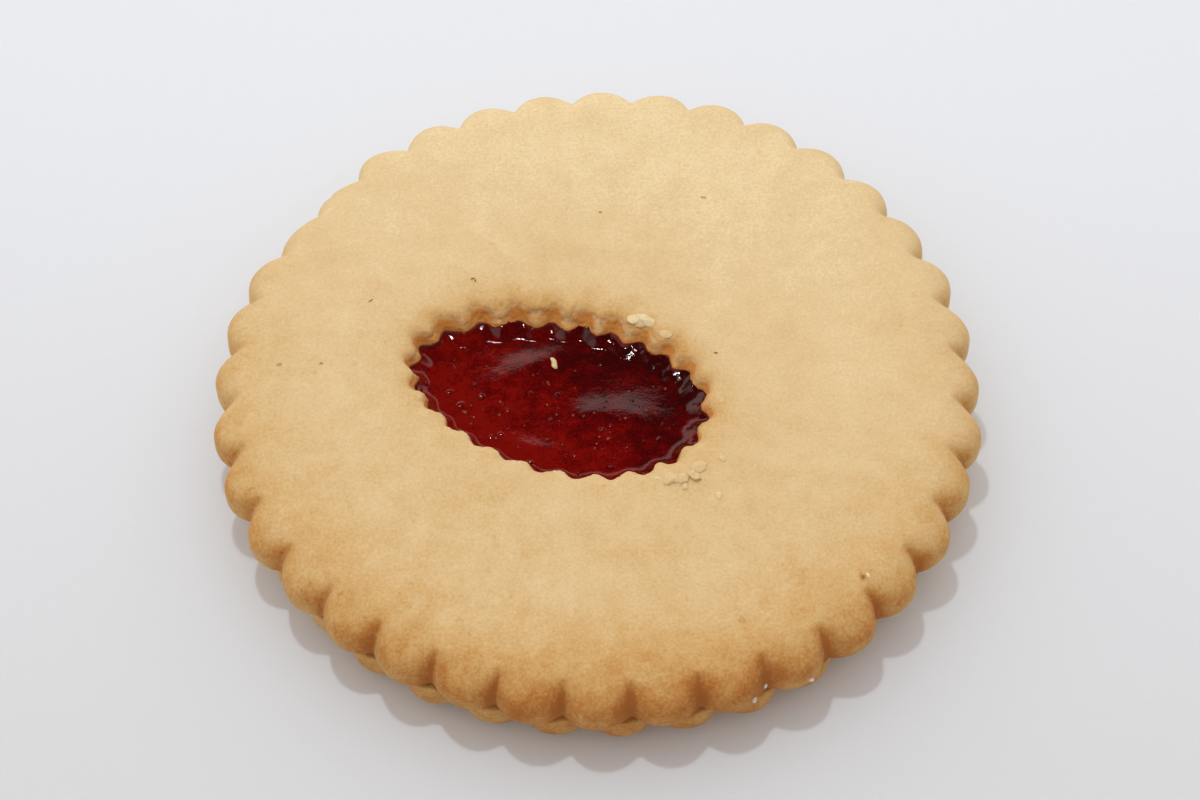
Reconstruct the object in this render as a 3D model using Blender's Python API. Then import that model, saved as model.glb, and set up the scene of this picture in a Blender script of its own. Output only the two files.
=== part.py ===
"""Strawberry shortbread: two fluted biscuits with strawberry jam between them.

Metres, +Z up. The origin is on the table, under the middle of the upper biscuit.
One cutter stamps both biscuits. The lower one lies on its rounded face with its flat
side up, the jam is spread on that side, and the upper biscuit, which has a crinkled
oval window, lies on the jam with its rounded face up.
"""
from math import cos, hypot, pi, radians, sin

import bmesh
import bpy
import numpy as np
from mathutils import Vector

MM = 0.001

# Size of a biscuit
TIP_RADIUS = 44.0 * MM
THICKNESS = 4.8 * MM
LOWER_SHRINK = 0.97

# Stack: the gap lets the jam lie between the biscuits without touching them
JAM_SPACE = 1.3 * MM
CLEARANCE = 0.3 * MM
UPPER_LEVEL = THICKNESS + JAM_SPACE
UPPER_TURN = radians(-0.25)
LOWER_TURN = radians(2.95)
LOWER_SHIFT = (0.25 * MM, -0.25 * MM)

# Fluted rim; each swell is its number of waves round the biscuit, height and phase
FLUTES = 36
CUTTER_SEED = 36
SAMPLES_PER_FLUTE = 6
DEPTH_AT_FLAT_FACE = 1.5 * MM
DEPTH_AT_ROUND_FACE = 1.95 * MM
VALLEY_SOFTNESS = 0.15
GROOVE_REACH = 3.7 * MM
LOBE_UNEVENNESS = 0.08
LOBE_SKEW = 0.05
WORN_LOBES = {14: 0.5, 15: 0.45}
RIM_SWELLS = ((2, 0.08 * MM, -2.0), (3, 0.35 * MM, -3.8))

# Rounded edge of the baked face, and the small edge of the flat one
SIDE_HEIGHT = 1.45 * MM
EDGE_RUN = 6.0 * MM
EDGE_FULLNESS = 2.2
EDGE_TURNS = (0, 26, 46, 63, 78, 90)
FOOT_EDGE = 0.35 * MM

# Oval window, its long axis running from the back left to the front right
WINDOW_CENTRE = (-4.46 * MM, -2.2 * MM)
WINDOW_LONG = 17.55 * MM
WINDOW_SHORT = 11.2 * MM
WINDOW_TURN = radians(-18.4)
WINDOW_SWELLS = ((0, 1.004, 0.0), (2, 0.015, -0.98), (3, 0.029, -2.86))
WINDOW_FLUTES = 24
WINDOW_FLUTE_DEPTH = 0.42 * MM
WINDOW_FLUTE_DRIFT = ((0, 0.43, 0.0), (2, 0.17, 0.43), (3, 0.11, -2.09))
WINDOW_STEPS = 7200

# The dough sinks towards the window, and below its lip the wall leans inwards as far
# as the jam's shore, most at the back
DIP_REACH = 4.4 * MM
LIP_DROP = 0.55 * MM
WALL_LEAN = 1.0 * MM
EXTRA_LEAN_AT_BACK = 0.4 * MM
SHORE_DROP = 2.4 * MM
WINDOW_SECTION = (
    # offset into the dough, share of the lean, drop below the top
    (DIP_REACH, 0.0, 0.0),
    (2.2 * MM, 0.0, 0.02 * MM),
    (1.1 * MM, 0.0, 0.07 * MM),
    (0.45 * MM, 0.0, 0.22 * MM),
    (0.0, 0.0, LIP_DROP),
    (0.0, 1.0, SHORE_DROP),
    (0.0, 1.0, THICKNESS - FOOT_EDGE),
    (FOOT_EDGE, 1.0, THICKNESS),
)

# Jam: the spread between the biscuits, and the pool that climbs the window's wall
SPREAD_RADIUS = 40.2 * MM
SPREAD_SWELLS = ((3, 0.3 * MM, -0.77), (7, 0.2 * MM, 0.53))
POOL_SAMPLES = 144
POOL_DEPTH = 0.85 * MM
POOL_REACH = 2.3 * MM
POOL_CURVE = ((0.0, 1.0), (0.5 * MM, 0.6), (1.2 * MM, 0.16), (POOL_REACH, 0.0))

# Colours in linear light
DOUGH_COLOUR = (0.74, 0.53, 0.27, 1.0)
JAM_COLOUR = (0.13, 0.003, 0.004, 1.0)

# Mesh
FLUTE_PITCH = 2 * pi / FLUTES
RIM_SAMPLES = FLUTES * SAMPLES_PER_FLUTE
MERGE_DISTANCE = 0.001 * MM
SHARP_ANGLE = radians(40)


def total_swell(angle, swells):
    """Sum at an angle of waves that run round a ring"""
    return sum(height * np.cos(waves * angle + phase) for waves, height, phase in swells)


def cutter_lobes():
    """Size and skew of each scallop, a little uneven as baking leaves them"""
    draw = np.random.default_rng(CUTTER_SEED)
    sizes = 1 + LOBE_UNEVENNESS * draw.uniform(-1, 1, FLUTES)
    skews = LOBE_SKEW * draw.uniform(-1, 1, FLUTES)
    return list(zip(sizes, skews))


def flute_rise(angle, lobes):
    """Rise of the rim at an angle, from 0 in a valley to about 1 on a crest"""
    place = angle / FLUTE_PITCH
    number = round(place)
    along = place - number
    size, skew = lobes[number % FLUTES]
    swing = cos(pi * (along + skew * (1 - 4 * along**2)))
    full_rise = hypot(1, VALLEY_SOFTNESS) - VALLEY_SOFTNESS
    return size * (hypot(swing, VALLEY_SOFTNESS) - VALLEY_SOFTNESS) / full_rise


def rim_section():
    """Height above the flat face, inset and flute depth, from the flat face to the top.

    The grooves between the flutes end before the dough is level.
    """
    section = [(0.0, FOOT_EDGE), (FOOT_EDGE, 0.0)]
    for turn in EDGE_TURNS:
        climb = sin(radians(turn)) ** (2 / EDGE_FULLNESS)
        height = SIDE_HEIGHT + (THICKNESS - SIDE_HEIGHT) * climb
        section.append((height, EDGE_RUN * (1 - cos(radians(turn)))))
    stations = []
    for height, inset in section:
        deepened = min(1.0, 2 * height / THICKNESS)
        depth = DEPTH_AT_FLAT_FACE + (DEPTH_AT_ROUND_FACE - DEPTH_AT_FLAT_FACE) * deepened
        groove_share = max(0.0, 1 - (inset / GROOVE_REACH) ** 1.5)
        stations.append((height, inset, depth * groove_share))
    return stations


def rim_point(angle, station, lobes, tip_radius):
    """Point of the fluted rim at an angle, at one station of its section"""
    height, inset, depth = station
    radius = tip_radius - inset - depth * (1 - flute_rise(angle, lobes))
    return Vector((radius * cos(angle), radius * sin(angle), height))


def window_shares(samples):
    """Oval's own angle at equal steps along its edge, starting at its first bulge"""
    fine = np.linspace(0, 4 * pi, WINDOW_STEPS + 1)
    speed = np.hypot(WINDOW_LONG * np.sin(fine), WINDOW_SHORT * np.cos(fine))
    length = np.concatenate(([0.0], np.cumsum((speed[1:] + speed[:-1]) / 2 * np.diff(fine))))
    once_round = np.interp(2 * pi, fine, length)
    shares = length / once_round - total_swell(fine, WINDOW_FLUTE_DRIFT) / WINDOW_FLUTES
    return np.interp(np.arange(samples) / samples, shares, fine)


def window_point(share_angle, offset, lean_share):
    """Point of the window's edge, moved out into the dough by an offset or leaned inwards"""
    edge = Vector((WINDOW_LONG * cos(share_angle), WINDOW_SHORT * sin(share_angle)))
    edge *= total_swell(share_angle, WINDOW_SWELLS)
    outward = Vector((WINDOW_SHORT * cos(share_angle), WINDOW_LONG * sin(share_angle))).normalized()
    lean = WALL_LEAN + EXTRA_LEAN_AT_BACK * sin(share_angle)
    edge += outward * (offset - lean_share * lean)
    along = Vector((cos(WINDOW_TURN), sin(WINDOW_TURN)))
    across = Vector((-sin(WINDOW_TURN), cos(WINDOW_TURN)))
    return Vector(WINDOW_CENTRE) + along * edge.x + across * edge.y


def window_ring(samples, offset, lean_share, height, crinkle):
    """Ring of points round the window, waved by its small flutes.

    Its first point is the one that lies nearest to the biscuit's own zero angle.
    """
    share_angles = window_shares(samples)
    start = round((share_angles[0] + WINDOW_TURN) / (2 * pi) * samples)
    points = []
    for place in range(samples):
        number = (place - start) % samples
        wave = crinkle * cos(2 * pi * WINDOW_FLUTES * number / samples)
        point = window_point(share_angles[number], offset + wave, lean_share)
        points.append(Vector((point.x, point.y, height)))
    return points


def loft(rings, centre_start=None, centre_end=None):
    """Skin through rings of points, each extruded from the last.

    With centres given, its two ends are closed to them. Without, the last ring is
    extruded back to the first and joined to it.
    """
    mesh = bmesh.new()
    place = mesh.verts.layers.int.new("place")
    capped = centre_start is not None
    samples = len(rings[0])
    circle = bmesh.ops.create_circle(
        mesh, cap_ends=capped, cap_tris=capped, segments=samples, radius=TIP_RADIUS)
    around = [vertex for vertex in circle["verts"] if vertex.co.length > TIP_RADIUS / 2]
    for number, vertex in enumerate(around):
        vertex[place] = number
        vertex.co = rings[0][number]
    for vertex in circle["verts"]:
        if vertex not in around:
            vertex.co = centre_start
    edges = [edge for edge in mesh.edges if all(vertex in around for vertex in edge.verts)]
    later_rings = rings[1:] if capped else rings[1:] + rings[:1]
    for ring in later_rings:
        grown = bmesh.ops.extrude_edge_only(mesh, edges=edges)["geom"]
        newest = [item for item in grown if isinstance(item, bmesh.types.BMVert)]
        for vertex in newest:
            vertex.co = ring[vertex[place]]
        edges = [item for item in grown if isinstance(item, bmesh.types.BMEdge)
                 and all(vertex in newest for vertex in item.verts)]
    if capped:
        bmesh.ops.pointmerge(mesh, verts=newest, merge_co=centre_end)
    else:
        bmesh.ops.remove_doubles(mesh, verts=mesh.verts, dist=MERGE_DISTANCE)
    bmesh.ops.recalc_face_normals(mesh, faces=mesh.faces)
    return mesh


def add_object(name, mesh, material):
    """Object of a finished mesh, shaded smooth except across its real edges"""
    data = bpy.data.meshes.new(name)
    mesh.to_mesh(data)
    mesh.free()
    data.shade_smooth()
    data.set_sharp_from_angle(angle=SHARP_ANGLE)
    data.materials.append(material)
    piece = bpy.data.objects.new(name, data)
    bpy.context.scene.collection.objects.link(piece)
    return piece


def make_material(name, colour, roughness):
    """Plain finish of one substance"""
    material = bpy.data.materials.new(name)
    material.use_nodes = True
    surface = material.node_tree.nodes["Principled BSDF"]
    surface.inputs["Base Color"].default_value = colour
    surface.inputs["Roughness"].default_value = roughness
    surface.inputs["Metallic"].default_value = 0.0
    return material


def rim_angles():
    """Angles of the points round a biscuit, with a crest at the first"""
    return [2 * pi * number / RIM_SAMPLES for number in range(RIM_SAMPLES)]


def make_lower_biscuit(material):
    """Plain fluted round, turned over so that its flat side is up"""
    lobes = cutter_lobes()
    tip_radius = TIP_RADIUS * LOWER_SHRINK
    rings = [
        [rim_point(angle, station, lobes, tip_radius) for angle in rim_angles()]
        for station in rim_section()
    ]
    mesh = loft(rings, Vector((0, 0, 0)), Vector((0, 0, THICKNESS)))
    biscuit = add_object("lower_biscuit", mesh, material)
    biscuit.rotation_euler = (pi, 0, LOWER_TURN)
    biscuit.location = (*LOWER_SHIFT, THICKNESS)


def make_upper_biscuit(material):
    """Fluted round with the oval window, rounded face up, two of its lobes worn off"""
    lobes = cutter_lobes()
    for number, share_left in WORN_LOBES.items():
        lobes[number] = (share_left, lobes[number][1])
    rings = []
    for station in rim_section():
        rings.append([
            rim_point(angle, station, lobes, TIP_RADIUS + total_swell(angle, RIM_SWELLS))
            for angle in rim_angles()
        ])
    for offset, lean_share, drop in WINDOW_SECTION:
        crinkle = WINDOW_FLUTE_DEPTH * (1 - offset / DIP_REACH)
        rings.append(window_ring(RIM_SAMPLES, offset, lean_share, THICKNESS - drop, crinkle))
    biscuit = add_object("upper_biscuit", loft(rings), material)
    biscuit.rotation_euler = (0, 0, UPPER_TURN)
    biscuit.location = (0, 0, UPPER_LEVEL)


def spread_ring(radius, height, samples):
    """Ring of points round the jam between the biscuits, uneven where it was pressed"""
    points = []
    for number in range(samples):
        angle = 2 * pi * number / samples
        reach = radius + total_swell(angle, SPREAD_SWELLS)
        points.append(Vector((reach * cos(angle), reach * sin(angle), height)))
    return points


def make_jam_filling(material):
    """Jam spread between the biscuits and risen into the window, where it clings to the wall"""
    floor_level = CLEARANCE - JAM_SPACE
    roof_level = -CLEARANCE
    rounding = (roof_level - floor_level) / 2
    rings = [
        spread_ring(SPREAD_RADIUS - rounding, floor_level, POOL_SAMPLES),
        spread_ring(SPREAD_RADIUS, floor_level + rounding, POOL_SAMPLES),
        spread_ring(SPREAD_RADIUS - rounding, roof_level, POOL_SAMPLES),
    ]
    rings.append(window_ring(POOL_SAMPLES, -CLEARANCE, 1.0, roof_level, WINDOW_FLUTE_DEPTH))
    pool_level = THICKNESS - SHORE_DROP - POOL_DEPTH
    for distance, share in POOL_CURVE:
        height = pool_level + POOL_DEPTH * share
        crinkle = WINDOW_FLUTE_DEPTH * (1 - distance / POOL_REACH)
        offset = -CLEARANCE - distance
        rings.append(window_ring(POOL_SAMPLES, offset, 1.0, height, crinkle))
    centre_end = Vector((*WINDOW_CENTRE, pool_level))
    mesh = loft(rings, Vector((0, 0, floor_level)), centre_end)
    jam = add_object("jam_filling", mesh, material)
    jam.rotation_euler = (0, 0, UPPER_TURN)
    jam.location = (0, 0, UPPER_LEVEL)


for leftover in list(bpy.data.objects):
    bpy.data.objects.remove(leftover)
dough = make_material("baked_dough", DOUGH_COLOUR, 0.75)
strawberry_jam = make_material("strawberry_jam", JAM_COLOUR, 0.12)
make_lower_biscuit(dough)
make_jam_filling(strawberry_jam)
make_upper_biscuit(dough)
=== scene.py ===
from math import cos, pi, radians, sin

import bmesh
import bpy
import numpy as np
from mathutils import Matrix, Vector, noise
from mathutils.bvhtree import BVHTree


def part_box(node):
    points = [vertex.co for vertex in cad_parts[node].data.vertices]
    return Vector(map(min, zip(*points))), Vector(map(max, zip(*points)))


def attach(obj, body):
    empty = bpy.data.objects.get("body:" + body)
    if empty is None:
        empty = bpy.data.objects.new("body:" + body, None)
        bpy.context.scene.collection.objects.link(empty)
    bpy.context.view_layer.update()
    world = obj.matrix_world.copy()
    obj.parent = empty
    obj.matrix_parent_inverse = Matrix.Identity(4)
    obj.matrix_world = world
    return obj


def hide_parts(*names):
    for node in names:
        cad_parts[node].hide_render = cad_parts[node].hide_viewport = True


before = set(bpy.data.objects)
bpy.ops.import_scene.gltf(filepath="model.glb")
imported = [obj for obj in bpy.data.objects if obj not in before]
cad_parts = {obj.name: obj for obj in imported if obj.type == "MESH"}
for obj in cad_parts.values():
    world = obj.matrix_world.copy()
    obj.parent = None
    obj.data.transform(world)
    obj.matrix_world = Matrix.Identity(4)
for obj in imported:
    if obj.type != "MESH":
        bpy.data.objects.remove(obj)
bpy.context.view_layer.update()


# Lower biscuit. A plain round of shortbread dough, rolled out, stamped with a fluted cutter
# and baked. It lies upside down, its baked face on the table, so that its flat side holds
# the jam.

MM = 0.001
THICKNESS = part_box("lower_biscuit")[1].z
TIP_RADIUS = 44.0 * MM
LOWER_SHRINK = 0.97
LOWER_TURN = radians(2.95)
LOWER_SHIFT = Vector((0.25 * MM, -0.25 * MM, 0))

FLUTES = 36
CUTTER_SEED = 36
SAMPLES = 24 * FLUTES
FLUTE_PITCH = 2 * pi / FLUTES
DEPTH_AT_FLAT_FACE = 1.5 * MM
DEPTH_AT_ROUND_FACE = 1.95 * MM
LOBE_FULLNESS = 0.86
VALLEY_ROUNDING = 0.035
GROOVE_REACH = 3.7 * MM
GROOVE_FADE = 1.5
LOBE_UNEVENNESS = 0.08
LOBE_SKEW = 0.05
SIDE_HEIGHT = 1.45 * MM
EDGE_RUN = 6.0 * MM
EDGE_FULLNESS = 2.2
FOOT_EDGE = 0.35 * MM
MIDDLE_RADIUS = 4.0 * MM
FACE_RINGS = 14

# The lower round rises at its rim to meet the upper one
RIM_LIFT = 0.8 * MM
RIM_LIFT_REACH = 6.0 * MM

# How brown the dough is, from 0, pale, to 1, deep brown. It darkens towards the front,
# partly from baking and partly as painted shade where the light falls off, darkens towards
# the left and pales towards the back. The three rates are changes for each millimetre from
# the middle.
MIDDLE_BROWNING = 0.2
MIDDLE_BROWNING_LIMITS = (0.09, 0.36)
BROWNING_AND_SHADE_TO_FRONT = 0.0065
PALENESS_AND_LIGHT_TO_BACK = 0.0035
DARKENING_TO_LEFT = 0.0018
# The rim is browner towards the front: partly baking, partly painted shade
RIM_BROWNING_AND_SHADE = 0.45
RIM_BROWN_FROM = 30.0 * MM
# Grooves are darker: partly browning, partly painted shade in the creases, deepest on the walls
# that face the front right, away from the light
VALLEY_BROWNING_AND_SHADE = 0.42
SHADED_SIDE = (0.35, -0.94)
LIT_SIDE_SHARE = 0.15
LOBE_FACE_BROWNING = 0.1
LOBE_FACE_HEIGHT = 2.7 * MM
LOBE_FACE_SPREAD = 0.9 * MM

# Unevenness of the dough's surface: length and height of each wave
DOUGH_WAVES = ((17 * MM, 0.10 * MM), (4.0 * MM, 0.05 * MM), (1.6 * MM, 0.03 * MM))


class Value:
    """Output of a shader node. Arithmetic on it adds Math nodes to the same tree."""

    def __init__(self, socket):
        self.socket = socket

    def node(self, kind, settings, inputs, output=0):
        """Output of a new node, whose settings are made before its sockets are filled"""
        tree = self.socket.id_data
        added = tree.nodes.new(kind)
        for name, setting in settings.items():
            if name == "stops":
                fill_ramp(added.color_ramp, setting)
            else:
                setattr(added, name, setting)
        for name, value in inputs.items():
            if isinstance(value, Value):
                tree.links.new(value.socket, added.inputs[name])
            else:
                added.inputs[name].default_value = value
        return Value(added.outputs[output])

    def maths(self, operation, first, second):
        return self.node("ShaderNodeMath", {"operation": operation}, {0: first, 1: second})

    def __add__(self, other):
        return self.maths("ADD", self, other)

    def __sub__(self, other):
        return self.maths("SUBTRACT", self, other)

    def __rsub__(self, other):
        return self.maths("SUBTRACT", other, self)

    def __mul__(self, other):
        return self.maths("MULTIPLY", self, other)

    __radd__ = __add__
    __rmul__ = __mul__


def fill_ramp(ramp, stops):
    """Set a colour ramp to stops of place and colour"""
    while len(ramp.elements) < len(stops):
        ramp.elements.new(1.0)
    for element, (place, colour) in zip(ramp.elements, stops):
        element.position = place
        element.color = (*colour, 1.0)


def cloud(place, size, detail=2.0):
    """Soft random pattern from 0 to 1, with blotches of a size"""
    inputs = {"Vector": place, "Scale": 1 / size, "Detail": detail, "Roughness": 0.6}
    return place.node("ShaderNodeTexNoise", {}, inputs)


def step_between(value, low, high):
    """0 where a value is under low, 1 where it is over high, and smooth in between"""
    inputs = {"Value": value, "From Min": low, "From Max": high}
    return value.node("ShaderNodeMapRange", {"interpolation_type": "SMOOTHSTEP"}, inputs)


def mix_colours(share, first, second):
    """Colour that goes from the first to the second as the share goes from 0 to 1"""
    settings = {"data_type": "RGBA", "clamp_factor": True}
    return share.node("ShaderNodeMix", settings, {0: share, 6: first, 7: second}, output=2)


def surface_value(shader, name):
    """Value of a mesh's own attribute"""
    added = shader.id_data.nodes.new("ShaderNodeAttribute")
    added.attribute_name = name
    return Value(added.outputs["Fac"])


def new_finish(name, constants):
    """Material with some of its shader's sockets set, its shader and its object coordinates"""
    material = bpy.data.materials.new(name)
    material.use_nodes = True
    shader = material.node_tree.nodes["Principled BSDF"]
    for socket, value in constants.items():
        shader.inputs[socket].default_value = value
    coordinates = material.node_tree.nodes.new("ShaderNodeTexCoord")
    return material, shader, Value(coordinates.outputs["Object"])


def feed(shader, name, value):
    """Link a value to one of the shader's sockets"""
    shader.id_data.links.new(value.socket, shader.inputs[name])


def bake_dough(name):
    """Finish of shortbread: sandy, matt and pale gold, browner with baking and painted shade"""
    constants = {
        "Specular IOR Level": 0.3,
        "Subsurface Weight": 0.12,
        "Subsurface Radius": (1.0, 0.5, 0.22),
        "Subsurface Scale": 0.9 * MM,
    }
    material, shader, place = new_finish(name, constants)
    patches = cloud(place, 10 * MM, detail=3.0)
    mottle = cloud(place, 2.6 * MM, detail=3.0)
    crumb = cloud(place, 0.9 * MM, detail=3.0)
    grain = cloud(place, 0.35 * MM, detail=2.0)
    tone = surface_value(shader, "browning_and_shade")
    tone = tone + 0.3 * (patches - 0.5) + 0.55 * (mottle - 0.5) * (tone + 0.15)
    tone = tone + 0.14 * (crumb - 0.5) + 0.42 * (grain - 0.5)
    specks = cloud(place, 1.1 * MM, detail=0.0)
    tone = tone + 0.1 * step_between(specks, 0.78, 0.84)
    tones = (
        (0.0, (0.89, 0.732, 0.44)),
        (0.1, (0.84, 0.665, 0.38)),
        (0.2, (0.778, 0.594, 0.322)),
        (0.4, (0.716, 0.508, 0.25)),
        (0.55, (0.66, 0.425, 0.175)),
        (0.7, (0.6, 0.335, 0.108)),
        (0.85, (0.52, 0.226, 0.054)),
        (1.0, (0.43, 0.146, 0.027)),
    )
    dough = tone.node("ShaderNodeValToRGB", {"stops": tones}, {0: tone})
    toast_stain_and_shade = surface_value(shader, "toast_stain_and_shade")
    # The toast colour stands for toasted dough, and for painted shade in the recesses of the
    # window's wall
    toast_and_shade_mask = step_between(toast_stain_and_shade + 0.5 * (crumb - 0.5), 0.05, 0.5)
    wet = step_between(toast_stain_and_shade + 0.3 * (crumb - 0.5), 0.62, 0.9)
    toasted_and_shaded_dough = mix_colours(toast_and_shade_mask, dough, (0.64, 0.262, 0.055, 1.0))
    feed(shader, "Base Color", mix_colours(wet, toasted_and_shaded_dough, (0.13, 0.01, 0.01, 1.0)))
    feed(shader, "Roughness", 0.82 - 0.4 * wet + 0.15 * (mottle - 0.5))
    height = 0.05 * MM * grain + (0.06 * MM + 0.16 * MM * toast_and_shade_mask) * crumb
    feed(shader, "Normal", height.node("ShaderNodeBump", {}, {"Height": height, "Distance": 1.0}))
    return material


def cutter_lobes():
    """Size and skew of each scallop, a little uneven as baking leaves them"""
    draw = np.random.default_rng(CUTTER_SEED)
    sizes = 1 + LOBE_UNEVENNESS * draw.uniform(-1, 1, FLUTES)
    skews = LOBE_SKEW * draw.uniform(-1, 1, FLUTES)
    return np.stack([sizes, skews], axis=1)


def flute_rise(angles, lobes):
    """Rise of the rim at each angle, from 0 in a valley to about 1 on a crest.

    Each scallop is an arc, as much of a half circle as its fullness says, and the valleys
    between them are rounded.
    """
    places = angles / FLUTE_PITCH
    numbers = np.round(places)
    along = places - numbers
    sizes, skews = lobes[numbers.astype(int) % FLUTES].T
    rounded = np.sign(along) * (0.5 - np.hypot(0.5 - np.abs(along), VALLEY_ROUNDING))
    across = 2 * LOBE_FULLNESS * (rounded + skews * (1 - 4 * along**2))
    valley = np.sqrt(1 - (LOBE_FULLNESS * (1 - 2 * VALLEY_ROUNDING)) ** 2)
    return sizes * (np.sqrt(1 - across**2) - valley) / (1 - valley)


def rim_section():
    """Height above the flat face and inset, from the flat face to the top"""
    section = []
    for turn in np.radians(np.arange(-90, 1, 30)):
        section.append((FOOT_EDGE * (1 + sin(turn)), FOOT_EDGE * (1 - cos(turn))))
    for turn in np.radians(np.arange(0, 91, 5)):
        height = SIDE_HEIGHT + (THICKNESS - SIDE_HEIGHT) * sin(turn) ** (2 / EDGE_FULLNESS)
        section.append((height, EDGE_RUN * (1 - cos(turn))))
    return section


def groove_share(inset):
    """Share of its full depth that a groove has, at an inset of the rim's section"""
    return max(0.0, 1 - (inset / GROOVE_REACH) ** GROOVE_FADE)


def make_ring(places, heights, browning_and_shade, toast_stain_and_shade):
    """Ring of points with their brownness, toast, jam stains and painted shade, one row each"""
    columns = [places[:, 0], places[:, 1], heights, browning_and_shade, toast_stain_and_shade]
    return np.stack([np.broadcast_to(column, len(places)) for column in columns], axis=1)


def shaded_side_share(places):
    """How far each point of a ring faces the side turned from the light, from 0 to 1"""
    along = np.roll(places, -1, axis=0) - np.roll(places, 1, axis=0)
    outward = np.stack([along[:, 1], -along[:, 0]], axis=1)
    outward /= np.linalg.norm(outward, axis=1)[:, None]
    return np.clip(outward @ SHADED_SIDE, 0, 1)


def rim_rings(tip_radii, lobes):
    """Rings of the fluted rim, from the edge of the flat face to the edge of the top"""
    angles = np.arange(SAMPLES) * 2 * pi / SAMPLES
    rise = flute_rise(angles, lobes)
    rings = []
    for height, inset in rim_section():
        share = min(1.0, 2 * height / THICKNESS)
        depth = DEPTH_AT_FLAT_FACE + (DEPTH_AT_ROUND_FACE - DEPTH_AT_FLAT_FACE) * share
        depth *= groove_share(inset)
        radii = tip_radii - inset - depth * (1 - rise)
        face = np.exp(-((height - LOBE_FACE_HEIGHT) / LOBE_FACE_SPREAD) ** 2)
        places = np.stack([radii * np.cos(angles), radii * np.sin(angles)], axis=1)
        # Painted shade in the grooves: their darkening is strongest on walls turned from the
        # light and weaker on the lit side; the rest is browning
        baked = LIT_SIDE_SHARE + (1 - LIT_SIDE_SHARE) * shaded_side_share(places)
        baked = baked * groove_share(inset)
        browning_and_shade = VALLEY_BROWNING_AND_SHADE * np.maximum(1 - rise, 0) ** 1.5 * baked
        browning_and_shade = browning_and_shade + LOBE_FACE_BROWNING * face * rise
        rings.append(make_ring(places, height, browning_and_shade, 0.0))
    return rings


def rings_between(first, last, shares):
    """Rings at shares of the way from one ring to another"""
    return [first + (last - first) * share for share in shares]


def loft(rings, closed):
    """Skin through rings of points, each extruded from the last.

    A closed skin has its last ring joined to the first. Another has both ends merged to
    a point.
    """
    mesh = bmesh.new()
    number_of = mesh.verts.layers.int.new("number")
    browning_and_shade = mesh.verts.layers.float.new("browning_and_shade")
    toast_stain_and_shade = mesh.verts.layers.float.new("toast_stain_and_shade")

    def shape(vertex, ring):
        row = ring[vertex[number_of]]
        vertex.co = row[:3]
        vertex[browning_and_shade] = row[3]
        vertex[toast_stain_and_shade] = row[4]

    newest = bmesh.ops.create_circle(mesh, segments=SAMPLES, radius=1.0)["verts"]
    for number, vertex in enumerate(newest):
        vertex[number_of] = number
        shape(vertex, rings[0])
    edges = list(mesh.edges)
    first = list(newest)
    for ring in rings[1:] + (rings[:1] if closed else []):
        grown = bmesh.ops.extrude_edge_only(mesh, edges=edges)["geom"]
        newest = {item for item in grown if isinstance(item, bmesh.types.BMVert)}
        for vertex in newest:
            shape(vertex, ring)
        edges = [item for item in grown if isinstance(item, bmesh.types.BMEdge)
                 and all(vertex in newest for vertex in item.verts)]
    if closed:
        bmesh.ops.remove_doubles(mesh, verts=first + list(newest), dist=0.001 * MM)
    else:
        for end in (first, list(newest)):
            middle = sum((vertex.co for vertex in end), Vector()) / len(end)
            bmesh.ops.pointmerge(mesh, verts=end, merge_co=middle)
    bmesh.ops.recalc_face_normals(mesh, faces=mesh.faces)
    return mesh


def roughen(mesh, waves, share_of=lambda vertex: 1.0):
    """Move each point along its normal by a sum of random waves"""
    mesh.normal_update()
    for vertex in mesh.verts:
        height = sum(noise.noise(vertex.co / length) * rise for length, rise in waves)
        vertex.co += vertex.normal * height * share_of(vertex)


def bake_round(mesh):
    """Add the brownness of each point, most at the front of the rim, partly painted shade"""
    browning_and_shade = mesh.verts.layers.float["browning_and_shade"]
    for vertex in mesh.verts:
        x, y = vertex.co.xy
        distance = max(MM, vertex.co.xy.length)
        # Painted shade in part: the middle darkens towards the front, partly from baking and
        # partly as the light falls off, darkens towards the left and pales towards the back
        change = BROWNING_AND_SHADE_TO_FRONT * min(y, 0.0) + PALENESS_AND_LIGHT_TO_BACK * max(y, 0.0)
        change = change + DARKENING_TO_LEFT * min(x, 0.0)
        least, most = MIDDLE_BROWNING_LIMITS
        middle = min(most, max(least, MIDDLE_BROWNING - change / MM))
        outer = max(0.0, (distance - RIM_BROWN_FROM) / (TIP_RADIUS - RIM_BROWN_FROM)) ** 1.15
        # towards_front makes the front of the rim browner: partly baking, partly painted shade
        facing = -y / distance
        towards_front = 0.58 + 0.45 * min(facing, 0.0) + 0.44 * max(facing, 0.0) ** 3
        vertex[browning_and_shade] += middle + RIM_BROWNING_AND_SHADE * outer * towards_front


def add_piece(name, mesh, finish):
    """Object of a finished mesh, which moves with the cookie"""
    data = bpy.data.meshes.new(name)
    mesh.to_mesh(data)
    mesh.free()
    data.shade_smooth()
    data.materials.append(finish)
    piece = bpy.data.objects.new(name, data)
    bpy.context.scene.collection.objects.link(piece)
    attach(piece, "root")
    return piece


def level_ring(radius, height):
    """Round ring of points at one height"""
    angles = np.arange(SAMPLES) * 2 * pi / SAMPLES
    places = radius * np.stack([np.cos(angles), np.sin(angles)], axis=1)
    return make_ring(places, height, 0.0, 0.0)


dough = bake_dough("baked_dough")

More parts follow.
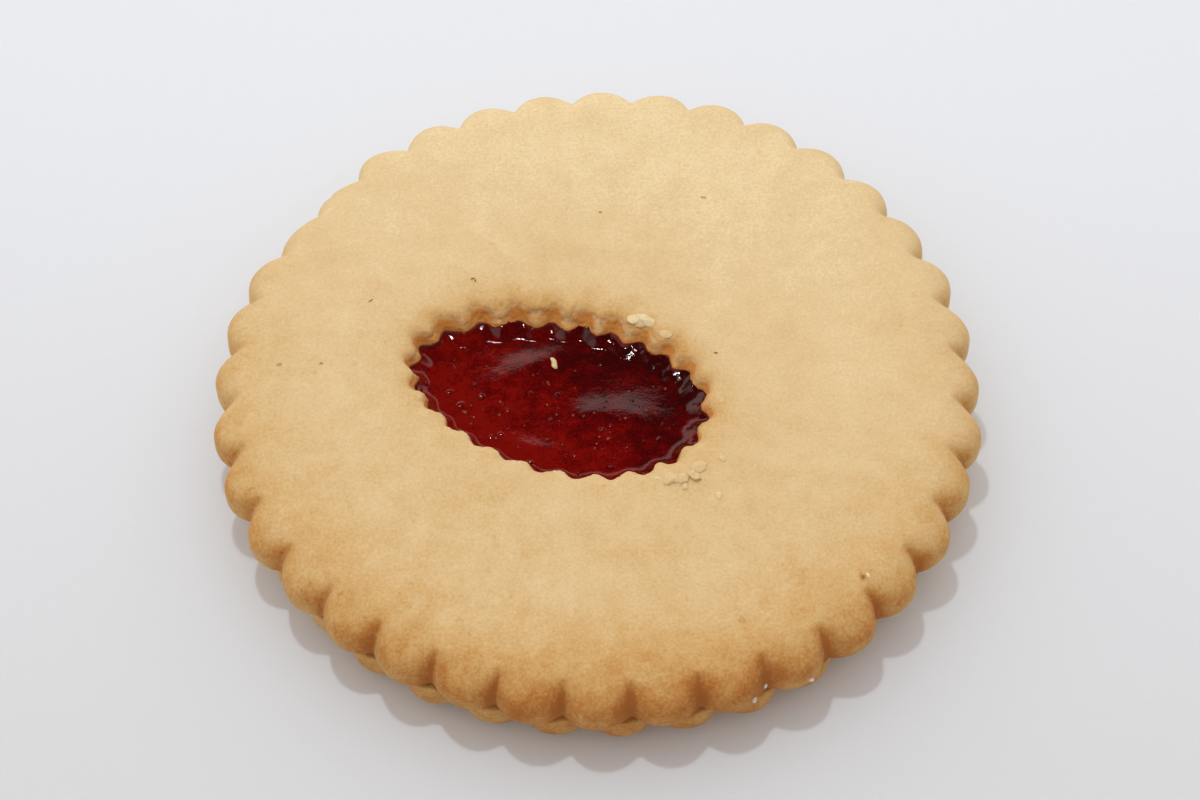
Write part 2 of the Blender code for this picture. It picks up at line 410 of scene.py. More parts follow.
rings = rim_rings(TIP_RADIUS * LOWER_SHRINK, cutter_lobes())
flat_middle = level_ring(MIDDLE_RADIUS, 0.0)
baked_middle = level_ring(MIDDLE_RADIUS, THICKNESS)
inner_shares = np.linspace(0, 1, FACE_RINGS)
flat_face = rings_between(flat_middle, rings[0], inner_shares[:-1])
baked_face = rings_between(rings[-1], baked_middle, inner_shares[1:])
lower = loft(flat_face + rings + baked_face, closed=False)
roughen(lower, DOUGH_WAVES)
turned = Matrix.Translation(LOWER_SHIFT + Vector((0, 0, THICKNESS)))
turned = turned @ Matrix.Rotation(LOWER_TURN, 4, "Z") @ Matrix.Rotation(pi, 4, "X")
bmesh.ops.transform(lower, matrix=turned, verts=lower.verts)
for vertex in lower.verts:
    height = min(max(vertex.co.z, 0.0), THICKNESS)
    inward = TIP_RADIUS * LOWER_SHRINK - vertex.co.xy.length
    lift = RIM_LIFT * min(1.0, max(0.0, 1 - inward / RIM_LIFT_REACH))
    vertex.co.z = height + lift * (height / THICKNESS) ** 2
bake_round(lower)
lower_biscuit = add_piece("lower_biscuit_baked", lower, dough)
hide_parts("lower_biscuit")


# Upper biscuit. A second round from the same cutter, with a crinkled oval window cut a
# little off its middle. It is baked face up, sinks towards the window, and two of its
# scallops at the back left are worn down to rough dough.

UPPER_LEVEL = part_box("upper_biscuit")[0].z
UPPER_TURN = radians(-0.25)
RIM_SWELLS = ((2, 0.08 * MM, -2.0), (3, 0.35 * MM, -3.8))
WORN_LOBES = {14: 0.5, 15: 0.45}
WORN_MIDDLE = 14.5
WORN_HALF_WIDTH = 1.1
WEAR_INSET = 3.4 * MM
WEAR_FADE = 1.6 * MM

WINDOW_CENTRE = (-4.46 * MM, -2.2 * MM)
WINDOW_LONG = 17.55 * MM
WINDOW_SHORT = 11.2 * MM
WINDOW_TURN = radians(-18.4)
WINDOW_SWELLS = ((0, 1.004, 0.0), (2, 0.015, -0.98), (3, 0.029, -2.86))
WINDOW_FLUTES = 24
WINDOW_FLUTE_DEPTH = 0.42 * MM
WINDOW_FLUTE_DRIFT = ((0, 0.43, 0.0), (2, 0.17, 0.43), (3, 0.11, -2.09))
WINDOW_STEPS = 7200
DIP_RINGS = 16
WALL_RINGS = 15
TOP_RINGS = 24

# The dip towards the window, its lip, and the wall that leans in as far as the jam's shore
DIP_REACH = 4.4 * MM
DIP_FADE = 0.7 * MM
LIP_DROP = 0.55 * MM
SHORE_DROP = 2.7 * MM
WALL_LEAN = 1.12 * MM
EXTRA_LEAN_AT_BACK = 0.4 * MM
# The top browns towards the window's lip, and painted shade darkens it more at the back
LIP_BROWNING_AND_SHADE = 0.54
LIP_BROWN_AND_SHADE_REACH = 3.4 * MM
LIP_TOAST = 0.12
LIP_TOAST_REACH = 0.45 * MM
WALL_BROWNING = 0.25
WALL_TOAST = 0.4
# The wall's crinkles are painted darker in their recesses and lighter on their ridges: painted
# shade
RECESS_SHADE = 0.35
STAIN_HEIGHT = 0.45 * MM
STAIN_SIDE = radians(20)
WALL_MARGIN = 1.2 * MM
WALL_FADE = 0.09
WALL_WAVES = ((1.3 * MM, 0.22 * MM), (0.5 * MM, 0.11 * MM))

WORN_WAVES = ((2.4 * MM, 0.2 * MM), (0.9 * MM, 0.12 * MM))

# The jam stands higher at the front: the rise of its shore from one level to another
SHORE_RISE = 1.2 * MM
SHORE_BACK = 12.4 * MM
SHORE_FRONT = -13.6 * MM
SHORE_SLANT = 0.2


def total_swell(angles, swells):
    """Sum at each angle of waves that run round a ring: number of waves, height and phase"""
    return sum(height * np.cos(waves * angles + phase) for waves, height, phase in swells)


def window_shares():
    """Oval's own angles at equal steps along its edge, starting at its first bulge"""
    fine = np.linspace(0, 4 * pi, WINDOW_STEPS + 1)
    speed = np.hypot(WINDOW_LONG * np.sin(fine), WINDOW_SHORT * np.cos(fine))
    length = np.concatenate(([0.0], np.cumsum((speed[1:] + speed[:-1]) / 2 * np.diff(fine))))
    once_round = np.interp(2 * pi, fine, length)
    shares = length / once_round - total_swell(fine, WINDOW_FLUTE_DRIFT) / WINDOW_FLUTES
    return np.interp(np.arange(SAMPLES) / SAMPLES, shares, fine)


def window_places(offset, lean_share, crinkle):
    """Places round the window, moved into the dough by an offset or leaned inwards"""
    edges = np.stack([WINDOW_LONG * np.cos(ovals), WINDOW_SHORT * np.sin(ovals)], axis=1)
    edges *= total_swell(ovals, WINDOW_SWELLS)[:, None]
    outward = np.stack([WINDOW_SHORT * np.cos(ovals), WINDOW_LONG * np.sin(ovals)], axis=1)
    outward /= np.linalg.norm(outward, axis=1)[:, None]
    lean = WALL_LEAN + EXTRA_LEAN_AT_BACK * np.sin(ovals)
    edges += outward * (offset + crinkle * window_flutes - lean_share * lean)[:, None]
    along = np.array([cos(WINDOW_TURN), sin(WINDOW_TURN)])
    across = np.array([-sin(WINDOW_TURN), cos(WINDOW_TURN)])
    return WINDOW_CENTRE + edges[:, :1] * along + edges[:, 1:] * across


def shore_drops(places):
    """Depth below the top at which the jam meets the wall, least at the front right"""
    along = (SHORE_BACK - places[:, 1] + SHORE_SLANT * places[:, 0]) / (SHORE_BACK - SHORE_FRONT)
    return SHORE_DROP - SHORE_RISE * np.clip(along, 0, 1)


def window_rings():
    """Rings from the dip round the window, over its lip and down its wall to the flat face"""
    rings = []
    for offset in DIP_REACH * np.linspace(1, 0, DIP_RINGS) ** 1.6:
        drop = LIP_DROP * np.exp(-offset / DIP_FADE)
        crinkle = WINDOW_FLUTE_DEPTH * (1 - offset / DIP_REACH)
        # Painted shade: towards_back makes the top round the lip browner at the back of the
        # window
        towards_back = 0.6 + 0.4 * np.sin(ovals)
        browning_and_shade = LIP_BROWNING_AND_SHADE * towards_back * np.exp(-offset / LIP_BROWN_AND_SHADE_REACH)
        toast_stain_and_shade = LIP_TOAST * towards_back * np.exp(-offset / LIP_TOAST_REACH)
        places = window_places(offset, 0.0, crinkle)
        rings.append(make_ring(places, THICKNESS - drop, browning_and_shade, toast_stain_and_shade))
    for share in np.linspace(0, 1, WALL_RINGS)[1:]:
        drop = LIP_DROP + (SHORE_DROP - LIP_DROP) * share
        places = window_places(0.0, share, WINDOW_FLUTE_DEPTH)
        above_jam = shore_drops(places) - drop
        # Painted shade: the toast is deeper in the recesses of the wall's crinkles and lighter on
        # their ridges
        toast_and_shade = min(WALL_TOAST, 0.15 + share) * (1 + RECESS_SHADE * window_flutes)
        soaked = STAIN_HEIGHT * (1.1 + np.clip(-np.cos(ovals - STAIN_SIDE), -0.1, 1))
        wetness = np.interp(above_jam / soaked, [0.0, 0.5, 1.0], [1.0, 0.5, 0.0])
        toast_stain_and_shade = toast_and_shade + (1 - toast_and_shade) * wetness
        rings.append(make_ring(places, THICKNESS - drop, WALL_BROWNING, toast_stain_and_shade))
    places = window_places(0.0, 1.0, WINDOW_FLUTE_DEPTH)
    rings.append(make_ring(places, FOOT_EDGE, WALL_BROWNING, 1.0))
    places = window_places(FOOT_EDGE, 1.0, WINDOW_FLUTE_DEPTH)
    rings.append(make_ring(places, 0.0, WALL_BROWNING, 1.0))
    return rings


def wall_share(vertex):
    """1 on the window's wall, fading to 0 on the top round it"""
    x = vertex.co.x - WINDOW_CENTRE[0]
    y = vertex.co.y - WINDOW_CENTRE[1]
    along = x * cos(WINDOW_TURN) + y * sin(WINDOW_TURN)
    across = y * cos(WINDOW_TURN) - x * sin(WINDOW_TURN)
    long_share = along / (WINDOW_LONG + WALL_MARGIN)
    short_share = across / (WINDOW_SHORT + WALL_MARGIN)
    reach = Vector((long_share, short_share)).length
    return min(1.0, max(0.0, (1.0 - reach) / WALL_FADE))


def wear_share(vertex):
    """1 on the worn scallops, fading to 0 on their neighbours and on the top"""
    angle = np.arctan2(vertex.co.y, vertex.co.x) / FLUTE_PITCH
    beside = max(0.0, 1 - (abs(angle - WORN_MIDDLE) / WORN_HALF_WIDTH) ** 4)
    outer = (vertex.co.xy.length - (TIP_RADIUS - WEAR_INSET)) / WEAR_FADE
    return beside * min(1.0, max(0.0, outer))


shares_round = window_shares()
first_share = round((shares_round[0] + WINDOW_TURN) / (2 * pi) * SAMPLES)
ovals = np.roll(shares_round, first_share)
flute_turns = 2 * pi * WINDOW_FLUTES * np.arange(SAMPLES) / SAMPLES
window_flutes = np.roll(np.cos(flute_turns), first_share)

lobes = cutter_lobes()
for number, share_left in WORN_LOBES.items():
    lobes[number, 0] = share_left
around = np.arange(SAMPLES) * 2 * pi / SAMPLES
rim = rim_rings(TIP_RADIUS + total_swell(around, RIM_SWELLS), lobes)
window = window_rings()
top = rings_between(rim[-1], window[0], np.linspace(0, 1, TOP_RINGS)[1:-1])
upper = loft(rim + top + window, closed=True)
roughen(upper, DOUGH_WAVES)
roughen(upper, WALL_WAVES, wall_share)
roughen(upper, WORN_WAVES, wear_share)
raised = Matrix.Translation((0, 0, UPPER_LEVEL)) @ Matrix.Rotation(UPPER_TURN, 4, "Z")
bmesh.ops.transform(upper, matrix=raised, verts=upper.verts)
bake_round(upper)
upper_surface = BVHTree.FromBMesh(upper)
upper_biscuit = add_piece("upper_biscuit_baked", upper, dough)
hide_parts("upper_biscuit")


# Strawberry jam. It was spread warm on the lower biscuit and pressed by the upper one, so
# it fills the gap almost to the rim and stands in the window as a glossy, uneven pool that
# climbs the wall all round.

JAM_FLOOR = THICKNESS - UPPER_LEVEL
SPREAD_RADIUS = 40.2 * MM
SPREAD_SWELLS = ((3, 0.3 * MM, -0.77), (7, 0.2 * MM, 0.53))
POOL_DEPTH = 0.85 * MM
POOL_REACH = 3.2 * MM
CLIMB_RUN_AT_BACK = 1.06 * MM
CLIMB_RUN_AT_LEFT = 2.2 * MM
CLIMB_RUN_AT_RIGHT = 3.1 * MM
CLIMB_RUN_AT_FRONT = 0.85 * MM
CLIMB_BEND = 0.1 * MM
CLIMB_BEND_AT_FRONT_RIGHT = 0.4 * MM
CRINKLE_REACH = 2.3 * MM
CALM_REACH = 1.5 * MM
LUMPY_SIDE = radians(40)
SHORE_RINGS = 31
POOL_RINGS = 30
POOL_WAVES = ((7 * MM, 0.07 * MM), (2.6 * MM, 0.032 * MM), (1.0 * MM, 0.01 * MM))
SHORE_WAVES = ((3.2 * MM, 0.3 * MM), (1.2 * MM, 0.12 * MM))
SHORE_LUMPS = ((1.5 * MM, 0.24 * MM), (0.6 * MM, 0.04 * MM))

# Swells of the pool: place, half length, half width, turn and height
POOL_SWELLS = (
    ((3.3 * MM, -5.7 * MM), 3.1 * MM, 2.5 * MM, radians(-6), 0.6 * MM),
    ((-0.9 * MM, -4.2 * MM), 1.3 * MM, 1.1 * MM, 0.0, 0.15 * MM),
    ((-9.0 * MM, 1.5 * MM), 3.4 * MM, 1.6 * MM, radians(35), 0.36 * MM),
    ((-7.2 * MM, -9.2 * MM), 2.4 * MM, 0.8 * MM, radians(-14), 0.17 * MM),
)


def set_jam(name):
    """Finish of set strawberry jam: deep red and wet, with painted shade towards the back and
    right
    """
    constants = {"Roughness": 0.05, "IOR": 1.42}
    material, shader, place = new_finish(name, constants)
    drifts = cloud(place, 6 * MM, detail=3.0)
    pulp = cloud(place, 1.5 * MM, detail=4.0)
    fibres = cloud(place, 0.28 * MM, detail=2.0)
    side = place.node("ShaderNodeSeparateXYZ", {}, {0: place})
    back = Value(side.socket.node.outputs[1])
    # Painted shade: darker towards the back, under the wall, and towards the right; random drifts
    # on top
    jam_tone_and_shade = 0.42 - 30 * side - 30 * back
    jam_tone_and_shade = jam_tone_and_shade + 1.1 * (drifts - 0.5) + 1.0 * (pulp - 0.5) + 1.4 * (fibres - 0.5)
    tones = (
        (0.0, (0.032, 0.0014, 0.0018)),
        (0.35, (0.062, 0.0014, 0.0016)),
        (0.7, (0.12, 0.0018, 0.0015)),
        (1.0, (0.185, 0.004, 0.002)),
    )
    feed(shader, "Base Color", jam_tone_and_shade.node("ShaderNodeValToRGB", {"stops": tones}, {0: jam_tone_and_shade}))
    height = 0.05 * MM * pulp + 0.015 * MM * fibres
    feed(shader, "Normal", height.node("ShaderNodeBump", {}, {"Height": height, "Distance": 1.0}))
    return material


def waves_at(places, waves):
    """Sum of random waves at each place of a level plane"""
    heights = np.zeros(len(places))
    for length, rise in waves:
        heights += [noise.noise(Vector((x, y, 0.0)) / length) * rise for x, y in places]
    return heights


def climb_heights(distance):
    """Height that the jam has climbed above its pool at a distance from the wall.

    It slopes up evenly from a bend, which is sharpest away from the front right.
    """
    front = 0.5 - 0.5 * np.sin(ovals)
    right = np.clip(np.cos(ovals), 0, 1)
    left = np.clip(-np.cos(ovals), 0, 1)
    run = CLIMB_RUN_AT_BACK + (CLIMB_RUN_AT_RIGHT - CLIMB_RUN_AT_BACK) * right**0.7
    run += (CLIMB_RUN_AT_LEFT - CLIMB_RUN_AT_BACK) * left
    run += (CLIMB_RUN_AT_FRONT - run) * front
    bend = CLIMB_BEND + (CLIMB_BEND_AT_FRONT_RIGHT - CLIMB_BEND) * front * right
    return POOL_DEPTH * bend / run * np.log1p(np.exp((run - distance) / bend))


def pool_heights(places, distance):
    """Height of the jam's surface at places that lie at one distance from the wall"""
    climb = climb_heights(distance)
    heights = THICKNESS - shore_drops(places) - POOL_DEPTH + climb
    lumpy = np.clip(1.4 * np.sin(ovals + LUMPY_SIDE), 0, 1)
    lumpy = lumpy * np.minimum(climb / POOL_DEPTH, 1)
    heights += waves_at(places, SHORE_WAVES) * climb / POOL_DEPTH
    heights += waves_at(places, SHORE_LUMPS) * lumpy
    calm = 1 - np.exp(-max(distance, 0.0) / CALM_REACH)
    heights += calm * waves_at(places, POOL_WAVES)
    for middle, half_length, half_width, turn, rise in POOL_SWELLS:
        apart = places - middle
        along = (apart @ [cos(turn), sin(turn)]) / half_length
        across = (apart @ [-sin(turn), cos(turn)]) / half_width
        heights += calm * rise * np.exp(-(along**2 + across**2) / 2)
    return heights


def spread_ring(inset, height):
    """Ring round the jam between the biscuits, uneven where it was pressed"""
    angles = np.arange(SAMPLES) * 2 * pi / SAMPLES
    radii = SPREAD_RADIUS - inset + total_swell(angles, SPREAD_SWELLS)
    places = np.stack([radii * np.cos(angles), radii * np.sin(angles)], axis=1)
    return make_ring(places, height, 0.0, 0.0)


jam_middle = JAM_FLOOR / 2
jam_rings = []
for turn in np.radians(np.arange(-90, 91, 30)):
    bulge = -jam_middle * (1 - cos(turn))
    jam_rings.append(spread_ring(bulge, jam_middle * (1 - sin(turn))))
jam_rings.append(make_ring(window_places(0.3 * MM, 1.0, WINDOW_FLUTE_DEPTH), 0.0, 0.0, 0.0))
wall_places = window_places(0.0, 1.0, 0.0)
shore_lean = (shore_drops(wall_places) - LIP_DROP) / (SHORE_DROP - LIP_DROP)
for distance in POOL_REACH * np.concatenate(([-0.12], np.linspace(0, 1, SHORE_RINGS))):
    crinkle = WINDOW_FLUTE_DEPTH * min(1.0, max(0.0, 1 - distance / CRINKLE_REACH))
    places = window_places(-distance, shore_lean, crinkle)
    jam_rings.append(make_ring(places, pool_heights(places, distance), 0.0, 0.0))
for share in np.linspace(0, 1, POOL_RINGS)[1:-1]:
    inner = places + (WINDOW_CENTRE - places) * share
    distance = POOL_REACH + share * WINDOW_SHORT
    jam_rings.append(make_ring(inner, pool_heights(inner, distance), 0.0, 0.0))
jam = loft(jam_rings, closed=False)
bmesh.ops.transform(jam, matrix=raised, verts=jam.verts)
jam_surface = BVHTree.FromBMesh(jam)
jam_finish = set_jam("strawberry_jam")
jam_filling = add_piece("strawberry_jam", jam, jam_finish)
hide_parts("jam_filling")


# Crumbs and flecks. Bits of the same dough that baked on to the top: pale flakes behind the
# window, a cluster of crumbs in front of it, a few browned flecks, a pit and a dimple painted
# dark as shade, and one crumb that dropped on the jam.

# Each bit: x, y, length, width and height in mm, turn in degrees, and browning
DOUGH_BITS = (
    (3.9, 7.1, 1.5, 1.3, 0.4, 20, 0.12),
    (4.9, 7.3, 1.7, 1.0, 0.45, -10, 0.1),
    (5.7, 6.8, 1.4, 1.2, 0.4, -35, 0.14),
    (4.8, 6.6, 1.5, 0.8, 0.3, 5, 0.3),
    (7.6, 5.0, 1.6, 1.0, 0.25, -14, 0.35),
    (7.8, -15.0, 1.7, 1.4, 0.9, 20, 0.28),
    (9.0, -15.1, 1.8, 1.4, 0.9, 0, 0.3),
    (9.6, -16.1, 0.6, 0.9, 0.6, 0, 0.2),
    (10.5, -14.6, 1.6, 1.4, 1.0, -30, 0.28),
    (11.1, -13.4, 1.9, 1.5, 0.7, 25, 0.3),
    (11.7, -13.1, 0.6, 0.6, 0.5, 0, 0.22),
    (6.3, -14.9, 0.4, 0.4, 0.2, 0, 0.15),
    (13.2, -17.2, 0.7, 1.1, 0.45, 0, 0.2),
    (13.7, -12.3, 0.6, 0.9, 0.4, 20, 0.2),
    (29.0, -27.4, 0.5, 0.6, 0.3, 0, 0.1),
)
FLECKS_AND_PITS = (
    (-26.6, 9.7, 0.8, 0.22, 0.15, 40, 1.5),
    (-14.8, 12.9, 0.6, 0.22, 0.15, 20, 1.5),
    (-14.5, 12.6, 0.2, 0.4, 0.1, 0, 1.2),
    (13.3, 2.2, 0.6, 0.25, 0.2, -20, 1.6),
    (12.4, 25.2, 0.8, 0.3, 0.1, -10, 0.75),
    (0.1, 22.9, 0.4, 0.3, 0.1, 0, 0.7),
    (-36.6, 0.6, 0.6, 0.5, 0.1, 0, 0.7),
    (-31.8, 0.7, 0.4, 0.3, 0.1, 0, 0.8),
    # A pit and a dimple, drawn as dark flat lumps: painted shade where the top dips
    (28.4, -27.6, 0.8, 1.1, 0.05, 0, 0.7),
    (28.4, -27.6, 0.4, 0.6, 0.12, 0, 1.3),
    (15.2, -33.0, 0.8, 0.9, 0.06, 0, 0.62),
)
JAM_CRUMB = ((-5.3, 2.9, 0.75, 1.5, 0.8, 5, 0.25),)
LUMP_SEED = 8
LUMP_GRAIN = 0.6 * MM


def add_lumps(mesh, spots, surface, roughness, level=None):
    """Rough lumps half sunk in a surface, each straight under a place over it.

    With a level given, each lies where the surface comes nearest to its place there.
    """
    browning_and_shade = mesh.verts.layers.float["browning_and_shade"]
    for x, y, length, width, height, turn, brown in spots:
        if level is None:
            over = Vector((x * MM, y * MM, 2 * top_level))
            foot, normal, _, _ = surface.ray_cast(over, Vector((0, 0, -1)))
        else:
            foot, normal, _, _ = surface.find_nearest(Vector((x * MM, y * MM, level)))
        lump = bmesh.ops.create_icosphere(mesh, subdivisions=3, radius=0.5 * MM)["verts"]
        standing = Vector((0, 0, 1)).rotation_difference(normal).to_matrix().to_4x4()
        sized = Matrix.Diagonal((length, width, height, 1))
        turned = Matrix.Rotation(radians(turn), 4, "Z") @ sized
        placed = Matrix.Translation(foot) @ standing @ turned
        bmesh.ops.transform(mesh, matrix=placed, verts=lump)
        for vertex in lump:
            shift = noise.noise_vector(vertex.co / LUMP_GRAIN) * roughness
            vertex.co += shift * min(1.0, height)
            vertex[browning_and_shade] = brown


def new_bits():
    """Empty mesh for lumps of dough"""
    mesh = bmesh.new()
    mesh.verts.layers.float.new("browning_and_shade")
    return mesh


top_level = UPPER_LEVEL + THICKNESS
noise.seed_set(LUMP_SEED)
bits = new_bits()
add_lumps(bits, DOUGH_BITS, upper_surface, 0.36 * MM)
add_piece("baked_on_crumbs", bits, dough)
flecks = new_bits()
add_lumps(flecks, FLECKS_AND_PITS, upper_surface, 0.8 * MM)
add_piece("browned_flecks_and_shaded_pits", flecks, dough)
jam_crumb = new_bits()
add_lumps(jam_crumb, JAM_CRUMB, jam_surface, 0.3 * MM)
add_piece("crumb_on_jam", jam_crumb, dough)


# Sugar grains. Coarse white sugar that stuck to the rim at the front right.

SUGAR_LEVEL = 6.7 * MM
SUGAR_GRAINS = (
    (16.4, -40.3, 0.6, 0.7, 0.6, 70, 0.0),
    (17.6, -38.6, 0.5, 0.7, 0.4, 20, 0.0),
    (23.3, -38.8, 0.8, 0.55, 0.6, 10, 0.0),
)


def grow_sugar(name):
    """Finish of sugar: white, slightly clouded crystal"""
    constants = {"Roughness": 0.25, "Subsurface Weight": 0.4, "Subsurface Scale": 0.4 * MM}
    material, shader, place = new_finish(name, constants)
    clouding = step_between(cloud(place, 0.3 * MM), 0.35, 0.65)
    colour = mix_colours(clouding, (0.62, 0.57, 0.53, 1.0), (0.88, 0.86, 0.85, 1.0))
    feed(shader, "Base Color", colour)
    return material


grains = new_bits()
add_lumps(grains, SUGAR_GRAINS, upper_surface, 0.2 * MM, SUGAR_LEVEL)
add_piece("sugar_grains", grains, grow_sugar("sugar"))


# Fruit in the jam. Bubbles and bits of pulp that stand up under the glossy skin, and a few
# pale strawberry pips near the surface.

# Each bubble and pip: x, y, length, width and height in mm, and turn in degrees
BUBBLES = (
    (-13.5, -1.8, 1.0, 1.1, 0.7, 0), (-14.4, 0.0, 0.6, 0.6, 0.4, 0),
    (-17.2, -1.0, 1.1, 0.8, 0.3, 20), (-16.8, 2.5, 0.4, 1.0, 0.35, 20),
    (-16.9, 3.7, 0.35, 0.35, 0.25, 0), (-13.8, 4.6, 0.3, 0.35, 0.25, 0),
    (-19.9, 0.0, 0.6, 0.8, 0.5, 20), (-20.4, -1.0, 0.35, 0.5, 0.4, 0),
    (-4.8, -1.5, 0.8, 0.7, 0.35, 10), (-7.9, -1.3, 0.7, 0.5, 0.3, 0),
    (-5.6, -5.1, 0.6, 0.6, 0.3, 0), (-1.8, -4.9, 0.5, 0.6, 0.35, 0),
    (0.3, -6.8, 1.0, 0.6, 0.35, -10), (1.3, -6.3, 0.5, 0.4, 0.2, -30),
    (-11.2, -7.1, 0.9, 0.7, 0.25, -20), (-12.3, -7.5, 0.5, 0.8, 0.2, 0),
    (-7.8, -11.1, 1.1, 0.6, 0.5, -10), (-6.9, -12.2, 0.4, 1.0, 0.5, 35),
    (-2.4, -12.8, 0.35, 0.4, 0.4, 0), (1.3, -11.9, 0.9, 0.5, 0.5, -20),
    (0.1, 2.7, 0.6, 0.5, 0.35, 0), (1.2, 0.4, 0.35, 0.3, 0.2, 0),
    (-2.8, -0.7, 0.3, 0.6, 0.2, 0), (-5.9, -8.0, 0.6, 0.4, 0.3, -20),
    (-5.2, 6.0, 0.3, 0.3, 0.2, 0), (3.7, -2.7, 0.6, 0.5, 0.2, 0),
    (6.7, -8.0, 0.6, 0.5, 0.3, 30), (8.3, -3.8, 0.5, 0.5, 0.3, 0),
    (-15.9, -2.8, 1.1, 0.9, 0.2, 30), (-10.6, -3.6, 0.5, 0.4, 0.2, 0),
)
PIPS = (
    (-15.4, -4.0, 0.7, 0.4, 0.3, -30), (-14.7, -3.1, 0.35, 0.3, 0.3, 0),
    (-14.3, -4.8, 0.35, 0.3, 0.3, 0), (-11.4, -4.5, 0.4, 0.4, 0.3, 0),
    (-10.5, -3.9, 0.3, 0.4, 0.25, 0), (-11.7, -7.8, 0.4, 0.3, 0.25, 0),
    (-14.6, -5.7, 0.3, 0.3, 0.2, 0), (-9.7, 4.3, 0.35, 0.35, 0.25, 0),
    (1.0, -8.1, 0.5, 0.4, 0.25, 40), (0.0, -7.8, 0.3, 0.3, 0.2, 0),
    (-0.3, -8.7, 0.3, 0.25, 0.2, 0), (-0.5, -9.3, 0.25, 0.35, 0.2, 0),
    (-6.0, -3.0, 0.25, 0.35, 0.2, 0), (-8.5, -6.0, 0.25, 0.25, 0.2, 0),
    (-2.8, 1.9, 0.3, 0.25, 0.2, 0), (-5.8, -0.1, 0.3, 0.3, 0.2, 0),
    (-3.0, -4.6, 0.3, 0.4, 0.25, 0), (-0.6, -4.5, 0.3, 0.35, 0.25, 0),
)
PULP_SEED = 12
PULP_BUBBLES = 60
PULP_PIPS = 14
PULP_REACH = 0.84
PULP_SIZES = (0.18, 0.42)
PULP_FLATNESS = (0.3, 0.6)


def scatter_pulp(draw, count):
    """Spots of small bits of pulp over the pool, clear of the window's wall"""
    spots = []
    for _ in range(count):
        angle = draw.uniform(0, 2 * pi)
        reach = PULP_REACH * draw.uniform(0, 1) ** 0.5
        along = reach * WINDOW_LONG * cos(angle)
        across = reach * WINDOW_SHORT * sin(angle)
        x = WINDOW_CENTRE[0] + along * cos(WINDOW_TURN) - across * sin(WINDOW_TURN)
        y = WINDOW_CENTRE[1] + along * sin(WINDOW_TURN) + across * cos(WINDOW_TURN)
        size = draw.uniform(*PULP_SIZES)
        flatness = draw.uniform(*PULP_FLATNESS)
        spots.append((x / MM, y / MM, size, 0.8 * size, flatness * size, draw.uniform(0, 180)))
    return spots


def ripen_pip(name):
    """Finish of a strawberry pip: amber, wet, redder where the jam covers it"""
    material, shader, place = new_finish(name, {"Roughness": 0.15})
    covering = cloud(place, 0.4 * MM)
    colour = mix_colours(covering, (0.27, 0.055, 0.02, 1.0), (0.14, 0.008, 0.004, 1.0))
    feed(shader, "Base Color", colour)
    return material


draw = np.random.default_rng(PULP_SEED)
bubbles = new_bits()
for spot in [*BUBBLES, *scatter_pulp(draw, PULP_BUBBLES)]:
    add_lumps(bubbles, [(*spot, 0.0)], jam_surface, 0.1 * MM)
add_piece("jam_bubbles", bubbles, jam_finish)
pips = new_bits()
for spot in [*PIPS, *scatter_pulp(draw, PULP_PIPS)]:
    add_lumps(pips, [(*spot, 0.0)], jam_surface, 0.1 * MM)
add_piece("strawberry_pips", pips, ripen_pip("strawberry_pip"))


# Table, light and camera. The table is plain and pale. A small soft lamp hangs nearly
# overhead, a little behind and to the left, and a pale room fills the shadows.

CAMERA_DISTANCE = 301.1 * MM
CAMERA_ELEVATION = radians(54.75)
LOOKED_AT = Vector((-0.08 * MM, 0.23 * MM, UPPER_LEVEL))
LENS = 78.15
FRAME_SHIFT = (1.19 / 1200, -8.73 / 1200)
LAMP_DISTANCE = 0.42
LAMP_WIDTH = 0.024
LAMP_DIRECTION = Vector((-0.11, 0.12, 1.0)).normalized()
LAMP_POWER = 0.34
LAMP_COLOUR = (0.9, 1.01, 1.07)
GLOW_EDGES = (radians(4.5), radians(3.5))
ROOM_COLOUR = (1.0, 0.93, 0.89, 1.0)
TABLE_REACH = 1.5


def paint_table(name):
    """Finish of the table: smooth and pale, with painted shade, greyer towards the front and left
    """
    material, shader, place = new_finish(name, {"Roughness": 0.55, "Specular IOR Level": 0.2})
    side = place.node("ShaderNodeSeparateXYZ", {}, {0: place})
    back = Value(side.socket.node.outputs[1])
    # Painted shade: the colour goes from grey at the front to pale blue-white at the back
    share = step_between(back + 0.08 * side, -0.11, 0.10)
    colour = mix_colours(share, (0.67, 0.69, 0.71, 1.0), (0.83, 0.875, 0.94, 1.0))
    feed(shader, "Base Color", colour)
    return material


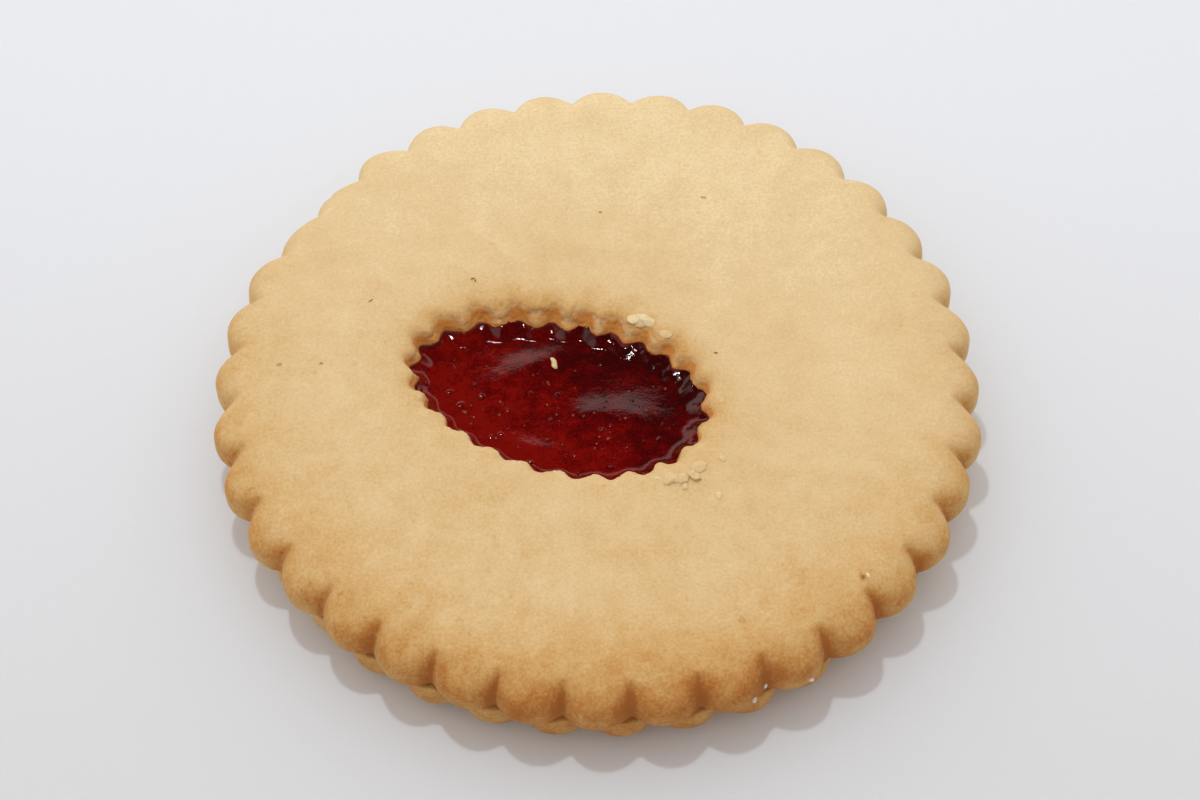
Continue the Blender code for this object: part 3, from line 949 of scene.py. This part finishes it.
def light_room(world):
    """Pale room, brightest at the back.

    What shines sees it dark overhead, with bright stretches low at the back and at the
    front left, and a glow where the lamp is.
    """
    world.use_nodes = True
    tree = world.node_tree
    facing = Value(tree.nodes.new("ShaderNodeTexCoord").outputs["Generated"])
    split = facing.node("ShaderNodeSeparateXYZ", {}, {0: facing})
    back = Value(split.socket.node.outputs[1])
    height = Value(split.socket.node.outputs[2])
    fill = 0.765 + 0.3 * back + 0.13 * height - 0.1 * split
    behind = step_between(height, 0.30, 0.38) * (1 - step_between(height, 0.58, 0.68))
    behind = behind * step_between(back, -0.1, 0.5)
    before = step_between(height, 0.2, 0.35) * (1 - step_between(height, 0.8, 0.9))
    before = before * (1 - step_between(back, -0.2, 0.2)) * (1 - step_between(split, -0.5, 0.0))
    settings = {"operation": "DOT_PRODUCT"}
    inputs = {0: facing, 1: LAMP_DIRECTION}
    to_lamp = facing.node("ShaderNodeVectorMath", settings, inputs, output=1)
    lamp_glow = step_between(to_lamp, cos(GLOW_EDGES[0]), cos(GLOW_EDGES[1]))
    shine = 0.012 + 1.3 * behind + 1.1 * before + 30.0 * lamp_glow
    glossy = Value(tree.nodes.new("ShaderNodeLightPath").outputs["Is Glossy Ray"])
    strength = fill + glossy * (shine - fill)
    background = tree.nodes["Background"]
    background.inputs["Color"].default_value = ROOM_COLOUR
    tree.links.new(strength.socket, background.inputs["Strength"])


table_mesh = bmesh.new()
bmesh.ops.create_grid(table_mesh, x_segments=8, y_segments=8, size=TABLE_REACH)
table_data = bpy.data.meshes.new("table")
table_mesh.to_mesh(table_data)
table_mesh.free()
table_data.materials.append(paint_table("table"))
table = bpy.data.objects.new("table", table_data)
bpy.context.scene.collection.objects.link(table)

lamp_data = bpy.data.lights.new("lamp", "AREA")
lamp_data.shape = "DISK"
lamp_data.size = LAMP_WIDTH
lamp_data.energy = LAMP_POWER
lamp_data.color = LAMP_COLOUR
lamp = bpy.data.objects.new("lamp", lamp_data)
lamp.location = LAMP_DISTANCE * LAMP_DIRECTION
lamp.rotation_euler = LAMP_DIRECTION.to_track_quat("Z", "Y").to_euler()
bpy.context.scene.collection.objects.link(lamp)

bpy.context.scene.world = bpy.data.worlds.new("room")
light_room(bpy.context.scene.world)
bpy.context.scene.view_settings.view_transform = "Standard"

camera_data = bpy.data.cameras.new("camera")
camera_data.sensor_width = 36.0
camera_data.lens = LENS
camera_data.shift_x = FRAME_SHIFT[0]
camera_data.shift_y = FRAME_SHIFT[1]
camera_data.clip_start = 0.01
camera = bpy.data.objects.new("camera", camera_data)
towards_camera = Vector((0, -cos(CAMERA_ELEVATION), sin(CAMERA_ELEVATION)))
camera.location = LOOKED_AT + CAMERA_DISTANCE * towards_camera
camera.rotation_euler = (pi / 2 - CAMERA_ELEVATION, 0, 0)
bpy.context.scene.collection.objects.link(camera)
bpy.context.scene.camera = camera
